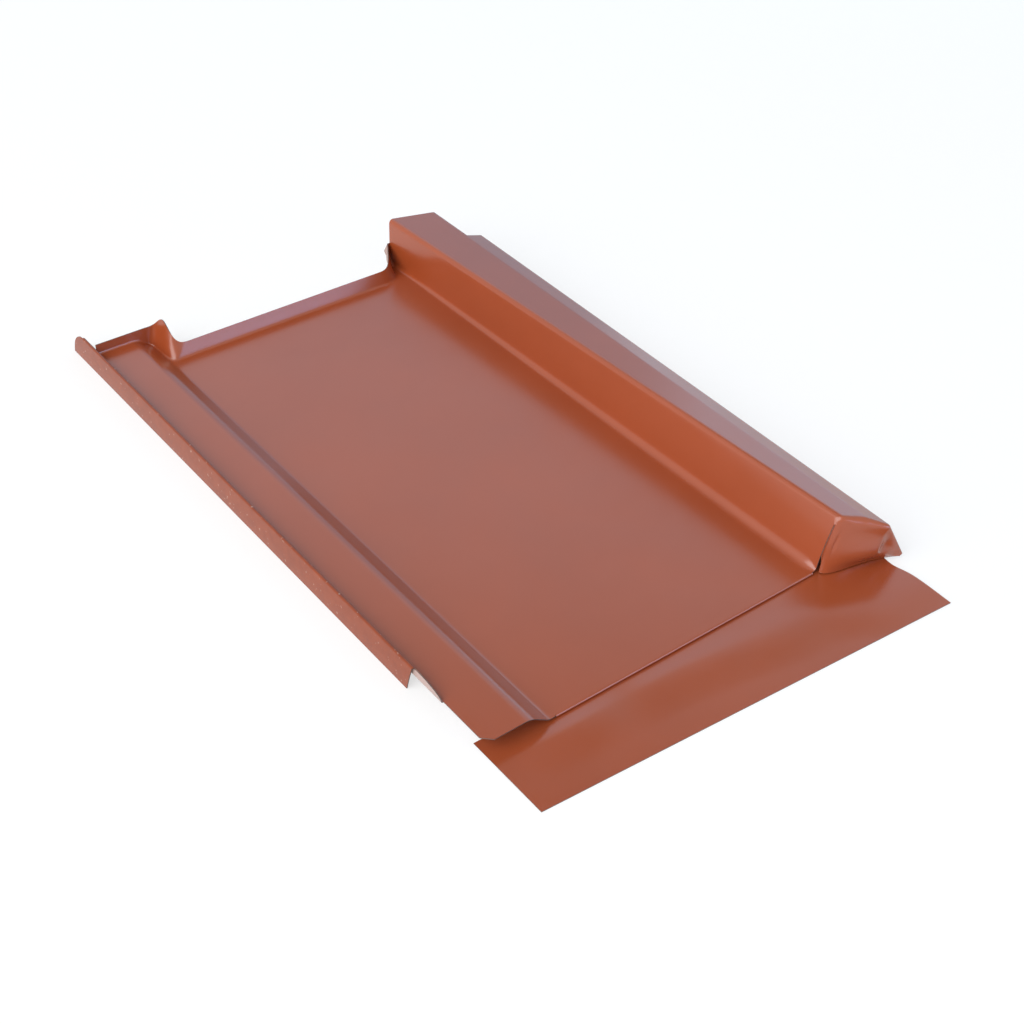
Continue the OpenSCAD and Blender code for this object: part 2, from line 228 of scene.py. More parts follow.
def rangeNode(tree, source, low, high, ends=cloudEnds):
    node = tree.nodes.new("ShaderNodeMapRange")
    node.inputs["From Min"].default_value = ends[0]
    node.inputs["From Max"].default_value = ends[1]
    node.inputs["To Min"].default_value = low
    node.inputs["To Max"].default_value = high
    tree.links.new(source, node.inputs["Value"])
    return node


def tintNode(tree, source, low, high):     # a colour between two shades, driven by source
    ramp = tree.nodes.new("ShaderNodeValToRGB")
    for element, position, color in zip(ramp.color_ramp.elements, cloudEnds, (low, high)):
        element.position = position
        element.color = (*color, 1)
    tree.links.new(source, ramp.inputs["Fac"])
    return ramp


def shade(color, factor):
    return tuple(c * factor for c in color)


def cloudTone(tree, color, spread, scale, detail=4):
    cloud = noiseNode(tree, scale, detail)
    return tintNode(tree, cloud.outputs["Fac"], shade(color, spread[0]), shade(color, spread[1]))


def glossyCoat(name, finish):
    material, tree, shader = nodeMaterial(name)
    drift = finish["colorSpread"]
    tone = cloudTone(tree, finish["color"], (1 - drift, 1 + drift), finish["cloudScale"])
    tree.links.new(tone.outputs["Color"], shader.inputs["Base Color"])
    gloss = noiseNode(tree, finish["glossScale"], 5, 0.6)
    duller = [finish["roughness"] + part for part in finish["roughnessSpread"]]
    spread = rangeNode(tree, gloss.outputs["Fac"], *duller)
    tree.links.new(spread.outputs["Result"], shader.inputs["Roughness"])
    peel = noiseNode(tree, finish["peelScale"], 2)
    bump = tree.nodes.new("ShaderNodeBump")
    bump.inputs["Strength"].default_value = finish["peel"]
    bump.inputs["Distance"].default_value = finish["peelDepth"]
    tree.links.new(peel.outputs["Fac"], bump.inputs["Height"])
    tree.links.new(bump.outputs["Normal"], shader.inputs["Normal"])
    shader.inputs["IOR"].default_value = finish["ior"]
    return material


def colorMix(tree, blend, factor, first, second):   # factor is a number or a socket
    node = tree.nodes.new("ShaderNodeMix")
    node.data_type = "RGBA"
    node.blend_type = blend
    for slot, value in zip((0, 6, 7), (factor, first, second)):
        if isinstance(value, bpy.types.NodeSocket):
            tree.links.new(value, node.inputs[slot])
        else:
            node.inputs[slot].default_value = value
    return node.outputs[2]


def wornAndShadedCoat(name, finish):         # the handled hem: duller, with wear specks and dark grime, and darker by painted shade where the key lamp lights it strongly
    material = glossyCoat(name, {**finish, "color": shade(finish["color"], finish["hemPaintedShade"])})
    tree = material.node_tree
    shader = tree.nodes["Principled BSDF"]
    coat = shader.inputs["Base Color"].links[0].from_socket
    grime = noiseNode(tree, finish["grimeScale"], 4, 0.6)
    dull = tintNode(tree, grime.outputs["Fac"], finish["wornTint"], (1, 1, 1))
    tinted = colorMix(tree, "MULTIPLY", 1, coat, dull.outputs["Color"])
    speck = noiseNode(tree, finish["speckScale"], 1)
    mask = rangeNode(tree, speck.outputs["Fac"], 0, finish["speckStrength"], finish["speckRange"])
    worn = colorMix(tree, "MIX", mask.outputs["Result"], tinted, (*finish["speckColor"], 1))
    tree.links.new(worn, shader.inputs["Base Color"])
    shader.inputs["Specular IOR Level"].default_value = finish["wornShine"]
    return material


def backingCoat(name, finish):
    material, tree, shader = nodeMaterial(name)
    tone = cloudTone(tree, finish["backColor"], finish["backSpread"], finish["backScale"])
    tree.links.new(tone.outputs["Color"], shader.inputs["Base Color"])
    shader.inputs["Roughness"].default_value = finish["backRoughness"]
    return material


def cutEdge(name, finish):
    material, tree, shader = nodeMaterial(name)
    tone = cloudTone(tree, finish["edgeColor"], finish["edgeSpread"], finish["edgeScale"], 3)
    tree.links.new(tone.outputs["Color"], shader.inputs["Base Color"])
    shader.inputs["Metallic"].default_value = finish["edgeMetal"]
    shader.inputs["Roughness"].default_value = finish["edgeRoughness"]
    return material


coatMaterial = glossyCoat("terracottaCoat", coatFinish)
wornAndShadedMaterial = wornAndShadedCoat("wornAndShadedCoat", coatFinish)
backMaterial = backingCoat("backingCoat", coatFinish)
edgeMaterial = cutEdge("cutEdge", coatFinish)
print("materials made")

plateSizes = {                  # metres; groups are (back, front) or (back, front, mouth)
    "sheet": 0.0006,
    "apronSheet": 0.0005,
    "bend": 0.0025,             # radius of the press bends
    "seamDepth": 0.010,         # fold under the pan's front edge, and the air between its layers
    "seamGap": 0.0001,
    "foldStart": 0.0045,
    # pan and its back upstand
    "panWidth": 0.185,
    "panLength": 0.393,
    "upstandBend": 0.0015,      # radius at the foot of the back upstands
    "upstandSet": 0.0014,       # how far that foot lies in front of the pan's end
    "panUpstand": 0.0086,
    "panUpstandLean": 0.003,
    "denseReach": 0.024,        # lines lie closer this far from the pressed corner
    # side strip, step and the corner between the two upstands
    "stripWidth": 0.0282,
    "stripRise": 0.0075,
    "stripChamfer": 0.006,
    "stepWidth": 0.011,
    "stepSoft": (0.12, 0.32),   # rounding of the step's lower and upper corner, as shares of its width
    "stepLines": (1.45, 1.38, 0.76),       # shares of the step's width between which lines lie closer
    "backReach": 0.024,
    "stripUpstand": 0.0069,
    "stripUpstandLean": 0.0004,
    "earRise": 0.0095,
    "earStart": (0.72, 0.36),   # where the corner starts on the step, in front and at its foot
    "earPeak": 0.45,            # where along the corner the ear is highest
    "earEase": 1.8,             # power by which its lines crowd together on the step
    "earFootPull": 0.0075,      # length of the corner curve's handles, at its foot and its top
    "earTopPull": 0.018,
    "earLean": 0.010,           # how far the corner's top edge leans over the pan
    "earFade": 0.028,
    # inverted hem
    "hemWidth": 0.0032,
    "hemRise": 0.006,
    "hemLean": 0.0012,          # how far its outer side leans in toward the top
    "hemCurve": 1.6,            # power of that lean
    "hemFoot": 0.0008,          # radius where the hem meets the strip
    "hemSetback": 0.0576,
    "hemRake": 0.0034,
    "hemTongue": 0.023,
    "hemTail": 0.0284,
    "hemCorner": 0.010,
    "tailRake": 0.0039,
    "flangeRake": 1.2,          # slope at the back end of its inner side
    # folded end of the pan's upstand, beside the rib
    "foldRise": 0.0148,
    "turnReach": 0.022,         # the pan's upstand starts to turn this far from the rib
    "turnGap": 0.0003,
    "turnFoot": ((0.003, 0), (0.0008, 0.006)),       # curve handles: from its end, past the upstand
    "turnTop": ((0.013, 0), (0.0115, 0.004)),
    "turnEnd": (0.001, 0.0002),
    "heel": 0.007,              # the folded end's foot stops this far short of the back edge
    "heelRise": 0.004,
    "tip": {"low": 0.0037, "peak": 0.0107, "high": 0.0147, "left": 0.0024, "back": 0.002,
            "deep": 0.003},
    # rib
    "ribHeight": 0.033,
    "ribLean": (0.0009, 0.0114),
    "ribTop": (0.0344, 0.0146),
    "ribShoulder": (0.0145, 0.0103),
    "ribSkirt": (0.0035, 0.015),
    "ribFoot": (0.0025, 0.008, 0.0025),    # bend radius at the foot of the rib's wall
    "ribHollow": (0.0, 0.0012, 0.0012),
    "ribCrest": 0.003,          # bend radius between wall and top, then between top and shoulder
    "ribRidge": 0.010,
    "ribTopFall": 0.0033,
    "ribShoulderFall": 0.0044,
    "ribMouth": 0.008,
    "ribNose": 0.017,           # how far the rib runs past the pan, and the power of its front edge's curve
    "noseCurve": 1.2,
    "skirtReach": 0.002,
    "skirtCut": 0.11,           # share of the skirt missing at its front corner
    "skirtCutLength": 0.05,
    "ribBackRake": 0.0045,
    "ribNotch": 0.045,
    # closed front end of the rib
    "endGap": 0.0008,           # between its lower edge and the apron
    "endFoot": ((0.0016, -0.0004), (0.003, -0.0085), (0.028, -0.0055)),   # its curve, beside the wall
    "endTuck": 0.0016,
    "endRight": (0.0018, 0.0011),          # where its right end stops, past the skirt and above the floor
    "endBulge": 0.0034,         # belly
    "endPeak": (0.6, 0.4),      # where the belly is deepest, as shares along and up
    "endSlack": 0.0010,         # its upper edge lies this much further back in the middle
    "slackPeak": 0.6,
    "endSoft": 0.0018,          # and its bend is that much softer there
    "softPeak": 0.55,
    "seamOpen": 0.007,          # the seam beside the wall gapes up to here
    "seamClose": 0.006,
    "dentFade": 6,              # the dents reach full depth at a sixth of its height
    "dents": {                  # share along the end, share up it, their spreads, depth in metres
        "crease": (0.105, 0.60, 0.020, 0.17, 0.0006),
        "arch": (0.72, 0.60, 0.050, 0.24, 0.0019),
        "brow": (0.84, 0.86, 0.050, 0.10, -0.0006),
        "knuckle": (0.80, 0.28, 0.020, 0.07, 0.0010),
        "rim": (0.95, 0.50, 0.014, 0.60, -0.0007),
    },
    # how finely the grid is divided: rows from front to back, and points over the rib's section
    "rows": {"front": 30, "end": 10, "mouth": 9, "tongue": 6, "long": 44, "notch": 16, "bend": 8,
             "upstand": 6},
    "ribPoints": {"foot": 10, "wall": 10, "crest": 10, "top": 22, "ridge": 6, "shoulder": 8, "brow": 10,
                  "skirt": 12},
    "cornerLines": 34,
    "turnLines": 30,
    "webColumns": 8,
}
s = plateSizes
hair = 0.0001                   # clearance between faces that all but touch

foldZ = s["apronSheet"] + s["seamGap"]           # layers of the seam, from the floor up
hookZ = foldZ + s["sheet"] + s["seamGap"]
panZ = hookZ + s["apronSheet"] + s["seamGap"] + s["sheet"]
foldRadius = (panZ - foldZ) / 2
stripZ = panZ + s["stripRise"]
hemZ = stripZ + s["hemRise"]
stripLength = s["panLength"] + s["backReach"]
stripX = -s["stepWidth"] - s["stripWidth"]
chamferEnd = stripX + s["stripChamfer"]
mouthY = foldRadius + s["ribMouth"]
tongueY = s["hemSetback"] - s["hemTongue"]
notchY = stripLength - s["ribNotch"]
upstandY = s["panLength"] + s["panUpstandLean"]
seamY = s["sheet"] + hair          # front edge of the rib's wall, behind the closed end
panCorner = vec(plateLow.x + s["hemWidth"] - stripX, plateHigh.y - s["hemTail"] - stripLength, 0)

gridRows = s["rows"]
frontRows = gridRows["front"]
mouthRow = frontRows + gridRows["mouth"]        # floor rows start at frontRows
tongueRow = mouthRow + gridRows["tongue"]
notchRow = tongueRow + gridRows["long"]
floorLast = notchRow + gridRows["notch"]
rowTotal = floorLast + 1 + gridRows["bend"] + gridRows["upstand"]


def floorHeight(x):      # level strip, sloping step, level pan
    return panZ + s["stripRise"] * ease(-x / s["stepWidth"], *s["stepSoft"])


def plateLine(kind, back, front=None, mouth=None, foot=None, top=None):
    front = back if front is None else front
    return {"kind": kind, "back": vec(*back), "front": vec(*front),
            "mouth": vec(*(front if mouth is None else mouth)), "foot": foot, "top": top}


def hemLines():
    radius = (s["hemWidth"] - s["hemLean"]) / 2
    outer = stripX - s["hemWidth"]
    inner = outer + s["hemLean"]
    low = hemZ - s["hemCorner"]
    heights = list(np.linspace(0, low, 4)) + [mix(low, hemZ - radius, k / 9) for k in range(1, 9)]
    section = [vec(mix(outer, inner, (z / (hemZ - radius)) ** s["hemCurve"]), z) for z in heights]
    section += roundCorner((inner, 0), (inner, hemZ), (stripX, hemZ), radius, 7)
    section += roundCorner((outer, hemZ), (stripX, hemZ), (stripX, stripZ), radius, 7)[1:]
    section += [vec(stripX, z) for z in np.linspace(hemZ - radius, stripZ + s["hemFoot"], 7)[1:-1]]
    section += roundCorner((stripX, hemZ), (stripX, stripZ), (0, stripZ), s["hemFoot"], 4)
    return [plateLine("hem", p) for p in section]


def stripLines():
    left = stripX + s["hemFoot"] + hair
    step = s["stepWidth"]
    xs = [left, mix(left, chamferEnd, 0.5), chamferEnd]
    coarse, first, last = s["stepLines"]
    xs += list(np.linspace(chamferEnd, -coarse * step, 6)[1:])
    xs += list(np.linspace(-first * step, -last * step, 14))
    lines = []
    for x in xs:
        z = floorHeight(x)
        lines.append(plateLine("strip", (x, z), foot=vec(x, stripLength, z),
                               top=vec(x, stripLength + s["stripUpstandLean"], stripZ + s["stripUpstand"])))
    return lines


def leftCornerLines():             # pressed corner between the strip's and the pan's upstand
    a, b = -s["earStart"][1] * s["stepWidth"], s["foldStart"]
    back, front = stripLength, s["panLength"] - s["upstandSet"]
    topBack, topEnd = back + s["stripUpstandLean"], b + s["earLean"]
    footPull, topPull = s["earFootPull"], s["earTopPull"]
    lines = []
    for i in range(s["cornerLines"] + 1):
        t = i / s["cornerLines"]
        x = mix(-s["earStart"][0] * s["stepWidth"], b, t ** s["earEase"])
        foot = bezier(vec(a, back), vec(a + footPull, back), vec(b - footPull, front), vec(b, front), t)
        top = bezier(vec(a, topBack), vec(a + topPull, topBack),
                     vec(topEnd - topPull, upstandY), vec(topEnd, upstandY), t)
        topZ = mix(stripZ + s["stripUpstand"], panZ + s["panUpstand"], t)
        topZ += s["earRise"] * hill(t, s["earPeak"])
        lines.append(plateLine("strip" if t < 1 else "pan", (x, floorHeight(x)),
                               foot=vec(*foot, floorHeight(foot[0])), top=vec(*top, topZ)))
    return lines


def panLines():
    first, last = s["foldStart"], s["panWidth"] - s["turnReach"]
    dense = first + s["denseReach"]
    lines = []
    for x in list(np.linspace(first, dense, 9)[1:]) + list(np.linspace(dense, last, 16)[1:-1]):
        shift = s["earLean"] * (1 - clamp((x - first) / s["earFade"])) ** 2
        lines.append(plateLine("pan", (x, panZ), foot=vec(x, s["panLength"] - s["upstandSet"], panZ),
                               top=vec(x + shift, upstandY, panZ + s["panUpstand"])))
    return lines


def wallStart(end):                # where the bend at the foot of the rib's wall begins
    lean = math.atan(s["ribLean"][min(end, 1)] / s["ribHeight"])
    return s["panWidth"] - s["ribFoot"][end] * math.tan((math.pi / 2 - lean) / 2)


def rightCornerLines():            # the upstand turns back and runs up to the rib
    width = s["panWidth"]
    first = width - s["turnReach"]
    footEnd = wallStart(0) - s["bend"] - s["turnGap"]
    front = s["panLength"] - s["upstandSet"]
    foot = [vec(first, front), *(vec(footEnd - x, front + y) for x, y in s["turnFoot"]),
            vec(footEnd, stripLength - s["heel"])]
    top = [vec(first, upstandY), *(vec(width - x, upstandY + y) for x, y in s["turnTop"]),
           vec(width - s["turnEnd"][0], stripLength - s["turnEnd"][1])]
    lines = []
    for i in range(s["turnLines"] + 1):
        t = i / s["turnLines"]
        sections = [(mix(first, wallStart(end) - 2 * s["turnGap"], t), panZ) for end in range(3)]
        rise = mix(s["panUpstand"], s["foldRise"], t * t)
        lines.append(plateLine("pan", *sections, foot=vec(*bezier(*foot, t), panZ),
                               top=vec(*bezier(*top, t), panZ + rise)))
    return lines


def between(a, b, count):          # points between a and b, without the two ends
    return [mix(a, b, t) for t in np.linspace(0, 1, count + 2)[1:-1]]


def ribSection(end):               # wall, top, shoulder and skirt at the back, front or mouth: 0, 1, 2
    side, points = min(end, 1), s["ribPoints"]
    a = vec(s["panWidth"], panZ)
    b = a + vec(s["ribLean"][side], s["ribHeight"])
    c = b + vec(s["ribTop"][side], -s["ribTopFall"])
    d = c + vec(s["ribShoulder"][side], -s["ribShoulderFall"])
    e = vec(d[0] + s["ribSkirt"][side], 0)
    foot = roundCorner((0, panZ), a, b, s["ribFoot"][end], points["foot"])
    crest = roundCorner(a, b, c, s["ribCrest"], points["crest"])
    ridge = roundCorner(b, c, d, s["ribRidge"], points["ridge"])
    brow = roundCorner(c, d, e, s["bend"], points["brow"])
    section = (foot + between(foot[-1], crest[0], points["wall"])
               + crest + between(crest[-1], ridge[0], points["top"])
               + ridge + between(ridge[-1], brow[0], points["shoulder"])
               + brow + [mix(brow[-1], e, t) for t in np.linspace(0, 1, points["skirt"] + 1)[1:]])
    for point in section:
        if point[0] < b[0]:
            point[0] -= s["ribHollow"][end] * math.sin(math.pi * clamp((point[1] - panZ) / s["ribHeight"]))
    return section


crestFirst = s["ribPoints"]["foot"] + 1 + s["ribPoints"]["wall"]     # first point of the wall's top bend
ridgeLast = crestFirst + s["ribPoints"]["crest"] + s["ribPoints"]["top"] + s["ribPoints"]["ridge"] + 1


def ribLines():
    lines = []
    for i, sections in enumerate(zip(*[ribSection(end) for end in range(3)])):
        kind = "wall" if i < crestFirst else "cover" if i <= ridgeLast else "brim"
        lines.append(plateLine(kind, *sections))
    skirt = s["ribPoints"]["skirt"]
    for n in range(1, skirt + 1):
        lines[n - skirt - 1]["down"] = n / skirt
    return lines


plateLines = hemLines() + stripLines() + leftCornerLines() + panLines() + rightCornerLines() + ribLines()
lineTotal = len(plateLines)
kinds = [line["kind"] for line in plateLines]
coverFirst = kinds.index("cover")
browLast = lineTotal - 1 - s["ribPoints"]["skirt"]
cornerLast = kinds.index("wall") - 1
wallTopX = plateLines[coverFirst]["front"][0]
crestBackX = plateLines[coverFirst + s["ribPoints"]["crest"]]["back"][0]
browX = s["panWidth"] + s["ribLean"][1] + s["ribTop"][1] + s["ribShoulder"][1]
skirtFootX = plateLines[-1]["front"][0]


def frontEdge(line):
    kind, (x, z) = line["kind"], line["front"]
    if kind == "hem":
        if x > stripX - s["hemWidth"] / 2:
            return s["hemSetback"] - s["hemTongue"] * (1 - clamp((z - stripZ) / s["hemRise"]) ** 3)
        return s["hemSetback"] + s["hemRake"] * (1 - z / hemZ)
    if kind == "strip":
        return max(0.0, chamferEnd - x)
    if kind in ("pan", "wall"):
        return 0.0
    toFoot = clamp((x - browX) / (skirtFootX - browX))
    return (s["endSlack"] * hill(toBrow(line), s["slackPeak"])
            - s["ribNose"] * (1 - (1 - toBrow(line)) ** s["noseCurve"]) - s["skirtReach"] * toFoot)


def toBrow(line):                  # 0 at the wall's top, 1 at the outer shoulder
    return clamp((line["front"][0] - wallTopX) / (browX - wallTopX))


def noseBend(line):                # the bend over the closed end is softest in its middle
    return s["bend"] + s["endSoft"] * hill(toBrow(line), s["softPeak"])


def backEdge(line):
    x, z = line["back"]
    if line["kind"] == "hem":
        if x > stripX - s["hemWidth"] / 2:
            return (stripLength + s["hemTail"] - s["tailRake"] - s["hemCorner"]
                    - s["flangeRake"] * (hemZ - z))
        rise = clamp((z - hemZ + s["hemCorner"]) / s["hemCorner"])
        return (stripLength + s["hemTail"] - s["tailRake"] * z / hemZ
                - s["hemCorner"] * (1 - math.sqrt(1 - rise * rise)))
    low = clamp(1 - (z - panZ) / s["heelRise"]) if line["kind"] == "wall" else 0
    return stripLength - s["heel"] * low - s["ribBackRake"] * clamp((x - crestBackX) / s["ribTop"][0])


def along(line, y):                # the line's point at distance y up the roof
    if line.get("down"):           # the skirt is cut shorter toward its front corner
        cut = s["skirtCut"] * smooth(1 - (y + s["ribNose"]) / s["skirtCutLength"])
        share = line["down"] * (1 - cut)
        return mix(straight(plateLines[browLast], y), straight(plateLines[-1], y), share)
    return straight(line, y)


def straight(line, y):
    x, z = mix(line["front"], line["back"], y / stripLength)
    mouth = (1 - clamp((y - foldRadius) / s["ribMouth"])) ** 2
    x += (line["mouth"][0] - line["front"][0]) * mouth
    z += (line["mouth"][1] - line["front"][1]) * mouth
    return vec(x, y, z)


def outward(i):                    # plan direction in which the upstand leans out
    has = [k for k in (i - 1, i, i + 1) if plateLines[k]["foot"] is not None]
    run = plateLines[has[-1]]["foot"] - plateLines[has[0]]["foot"]
    return unit(vec(-run[1], run[0], 0))


def bendStart(i):
    point = plateLines[i]["foot"] - outward(i) * s["upstandBend"]
    point[2] = floorHeight(point[0])
    return point


def floorPoint(i, k):
    line = plateLines[i]
    kind, y0 = line["kind"], frontEdge(line)
    first, second = y0, y0
    if kind != "hem":
        first = y0 + {"strip": 0.0, "pan": foldRadius, "wall": seamY}.get(kind, noseBend(line))
        second = max(mouthY, first + 10 * hair)
    tongue = y0 if kind == "hem" else tongueY
    if k <= mouthRow:
        return along(line, mix(first, second, (k - frontRows) / gridRows["mouth"]))
    if k <= tongueRow:
        return along(line, mix(second, tongue, (k - mouthRow) / gridRows["tongue"]))
    if k <= notchRow:
        return along(line, mix(tongue, notchY, (k - tongueRow) / gridRows["long"]))
    share = (k - notchRow) / gridRows["notch"]
    if line["foot"] is None:
        return along(line, mix(notchY, stripLength if kind == "hem" else backEdge(line), share))
    point = mix(along(line, notchY), bendStart(i), share)
    point[2] = floorHeight(point[0])
    return point


def backPoint(i, k):               # upstand, or the hem's tail
    line = plateLines[i]
    steps = gridRows["bend"] + gridRows["upstand"]
    if line["foot"] is None:
        return along(line, mix(stripLength, backEdge(line), (k - floorLast) / steps))
    start, foot, top = bendStart(i), line["foot"], line["top"]
    end = foot + unit(top - foot) * s["upstandBend"]
    t = (k - floorLast) / gridRows["bend"]
    if t < 1:
        return start * (1 - t) ** 2 + foot * 2 * t * (1 - t) + end * t * t
    return mix(end, top, (k - floorLast - gridRows["bend"]) / gridRows["upstand"])


def foldPoint(line, k):            # the fold under the pan's front edge
    x = line["mouth"][0]
    if k == 0:
        return vec(x, s["seamDepth"], foldZ)
    w = math.pi * (frontRows - k) / (frontRows - 1)
    return vec(x, foldRadius - foldRadius * math.sin(w), panZ - foldRadius + foldRadius * math.cos(w))


endLift = s["apronSheet"] + s["endGap"]
endCurve = [vec(s["panWidth"] + x, y, endLift) for x, y in s["endFoot"]]
endCurve.append(vec(skirtFootX - s["bend"] - s["endTuck"],
                    s["endRight"][0] - s["ribNose"] - s["skirtReach"], s["endRight"][1]))


def wallX(z):                      # front edge of the rib's wall
    t = (z - panZ) / s["ribHeight"]
    return s["panWidth"] + s["ribLean"][1] * t - s["ribHollow"][1] * math.sin(math.pi * clamp(t))


def endPoint(i, k):                # closed front end of the rib
    line = plateLines[i]
    bend = noseBend(line)
    start = floorPoint(i, frontRows)
    forward = unit(start - along(line, start[1] + 0.01))
    corner = start + forward * bend
    share = (line["front"][0] - wallTopX) / (skirtFootX - wallTopX)
    foot = bezier(*endCurve, share)
    down = unit(foot - corner)
    flat = frontRows - gridRows["end"]
    if k > flat:
        w = math.pi / 2 * (frontRows - k) / gridRows["end"]
        return start + forward * bend * math.sin(w) + down * bend * (1 - math.cos(w))
    t = k / flat
    point = mix(foot, corner + down * bend, t)
    point += forward * s["endBulge"] * hill(share, s["endPeak"][0]) * hill(t, s["endPeak"][1])
    for acrossEnd, upEnd, width, height, depth in s["dents"].values():
        point -= (forward * depth * bell(share - acrossEnd, width) * bell(t - upEnd, height)
                  * smooth(s["dentFade"] * t))
    point[0] -= s["ribHollow"][1] * math.sin(math.pi * t) * (1 - share) ** 4
    if i == coverFirst:            # the border tucks in against the wall above the open seam
        tuck = smooth((point[2] - s["seamOpen"]) / s["seamClose"])
        point[0] = mix(point[0], wallX(point[2]) - 3 * hair, tuck)
        point[1] = mix(point[1], 0.0, tuck)
    return point


def platePoint(i, k):
    line = plateLines[i]
    if k > floorLast:
        return backPoint(i, k)
    if k >= frontRows:
        return floorPoint(i, k)
    if line["kind"] == "pan":
        return foldPoint(line, k)
    return endPoint(i, k) if i >= coverFirst else floorPoint(i, frontRows)


def plateCell(i, k):               # which cells of the grid are sheet
    a, b = plateLines[i]["kind"], plateLines[i + 1]["kind"]
    if k < frontRows:
        return (a == "pan" and b == "pan") or i >= coverFirst - (k >= frontRows - gridRows["end"])
    if k < tongueRow:
        return a != "hem"
    if k < notchRow:
        return True
    if k < floorLast:
        return b != "brim"
    if a == "hem" and b == "hem":
        return True
    return plateLines[i]["foot"] is not None and plateLines[i + 1]["foot"] is not None


def placed(point):
    return point + panCorner


def cornerWeb():                   # folded end that closes the corner between the upstand and the rib
    tip, columns = s["tip"], s["webColumns"]
    wallEdge = [along(line, backEdge(line)) for line in plateLines if line["kind"] == "wall"]
    heights = [p[2] for p in wallEdge]
    grid = []
    for k in range(rowTotal - 1, floorLast - 1, -1):
        point = platePoint(cornerLast, k)
        z = point[2] - panZ
        w = smooth(min((z - tip["low"]) / (tip["peak"] - tip["low"]),
                       (tip["high"] - z) / (tip["high"] - tip["peak"])))
        wall = vec(np.interp(point[2], heights, [p[0] for p in wallEdge]) + hair,
                   np.interp(point[2], heights, [p[1] for p in wallEdge]) - 3 * hair, point[2])
        deep = point + vec(3 * hair, min(wall[1] - point[1], tip["deep"]), 0)
        row = [point + vec(-tip["left"], tip["back"], 0) * w, point]
        row += [mix(deep, wall, n / columns) for n in range(columns + 1)]
        grid.append([placed(p) for p in row])
    web = gridMesh("cornerWeb", grid, lambda i, k: True)
    for face in web.data.polygons:     # the tip shows the sheet's back
        face.material_index = 1 if face.index % (columns + 2) == 0 else 0
    return web


def joined(piece, part):           # part's mesh added into piece's, slots kept
    merged = bmesh.new()
    merged.from_mesh(piece.data)
    merged.from_mesh(part.data)
    merged.to_mesh(piece.data)
    merged.free()
    bpy.data.objects.remove(part)


def makeRoofPlate():
    grid = [[placed(platePoint(i, k)) for k in range(rowTotal)] for i in range(lineTotal)]
    plate = gridMesh("roofPlate", grid, plateCell)
    thicken(plate, s["sheet"], coatMaterial, backMaterial, edgeMaterial)
    web = cornerWeb()
    thicken(web, s["sheet"] / 2, coatMaterial, backMaterial, edgeMaterial)
    joined(plate, web)
    # the hem's outer side takes the worn coat, whose darker base is painted shade
    plate.data.materials.append(wornAndShadedMaterial)
    hemSide = panCorner[0] + stripX - hair
    for face in plate.data.polygons:
        if face.material_index == 0 and face.center.x < hemSide:
            face.material_index = 3
    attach(plate, "root")
    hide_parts("roof_plate")
    return plate


roofPlate = makeRoofPlate()
print("roof plate", len(roofPlate.data.polygons), "faces")

apronSizes = {                  # metres
    "left": 0.042,              # reach in front of the fold, at the left corner
    "right": 0.0595,
    "pastPan": 0.0375,
    "underRib": 0.041,
    "nip": 0.002,               # how far the right edge draws in beside the closed end
    "nipPlace": 0.003,          # in front of the rib's nose
    "nipWidth": 0.008,
    "hookLap": 0.0012,          # end of the hook, behind the fold's bend
    "hookInset": 0.0015,        # the hook is this much shorter than the fold, at each end
    "hookBack": 0.001,          # its bend lies this far behind the fold
    "wave": 0.0013,             # height of the soft hand bends
    "crown": 0.22,              # share of the reach at which they are highest, on the left
    "crownShift": ((0.16, 0.060, 0.09), (0.24, 0.150, 0.05)),    # share, start and length along the fold
    "dip": (0.8, 0.045, 0.016),            # share, place and width of a slanting hollow
    "fade": (0.2, 0.165, 0.04),            # share, start and length of the calmer right part
    "calm": 0.05,               # the bends fade out this near the left edge
    "rows": (12, 60),           # grid rows to the end of the hook, and in all
    "columns": (14, 60, 24),    # left of the hook, along it and right of it
}
apronEnd = s["panWidth"] + apronSizes["underRib"]
apronBack = s["seamDepth"] + apronSizes["hookBack"]
hookRadius = (hookZ + s["apronSheet"]) / 2
hookStart = s["foldStart"] + apronSizes["hookInset"]
hookEnd = wallStart(2) - apronSizes["hookInset"]
hookRows, apronRows = apronSizes["rows"]
leftColumns, hookColumns, rightColumns = apronSizes["columns"]
apronXs = (list(np.linspace(-apronSizes["pastPan"], hookStart, leftColumns))
           + list(np.linspace(hookStart, hookEnd, hookColumns)[1:])
           + list(np.linspace(hookEnd, apronEnd, rightColumns)[1:]))


def frontReach(x):                 # how far the apron reaches in front of the fold
    share = (x + apronSizes["pastPan"]) / (apronEnd + apronSizes["pastPan"])
    return mix(apronSizes["left"], apronSizes["right"], share)


def apronLift(x, y):               # soft hand bends: highest near the fold, then down to the front edge
    crown = apronSizes["crown"]
    for share, start, length in apronSizes["crownShift"]:
        crown += share * smooth((x - start) / length)
    hollow, place, width = apronSizes["dip"]
    less, start, length = apronSizes["fade"]
    height = (1 - hollow * bell(x - place - 0.5 * y, width)) * (1 - less * smooth((x - start) / length))
    height *= smooth((x + apronSizes["pastPan"]) / apronSizes["calm"])
    return apronSizes["wave"] * height * hill(clamp(-y / frontReach(x)), crown)


def apronNip(x, y):
    return (apronSizes["nip"] * bell(y + s["ribNose"] + apronSizes["nipPlace"], apronSizes["nipWidth"])
            * clamp((x - hookEnd) / (apronEnd - hookEnd)))


def apronPoint(i, k):              # the underside, from the hook in the fold to the front edge
    x = apronXs[i]
    if k == 0:
        return vec(x, foldRadius + apronSizes["hookLap"], 2 * hookRadius)
    if k <= hookRows:
        w = math.pi * (k - 1) / (hookRows - 1)
        return vec(x, apronBack + hookRadius * math.sin(w), hookRadius + hookRadius * math.cos(w))
    y = mix(apronBack, -frontReach(x), (k - hookRows) / (apronRows - hookRows))
    return vec(x - apronNip(x, y), y, apronLift(x, min(y, 0)) * (1 if y <= 0 else 1 - y / apronBack))


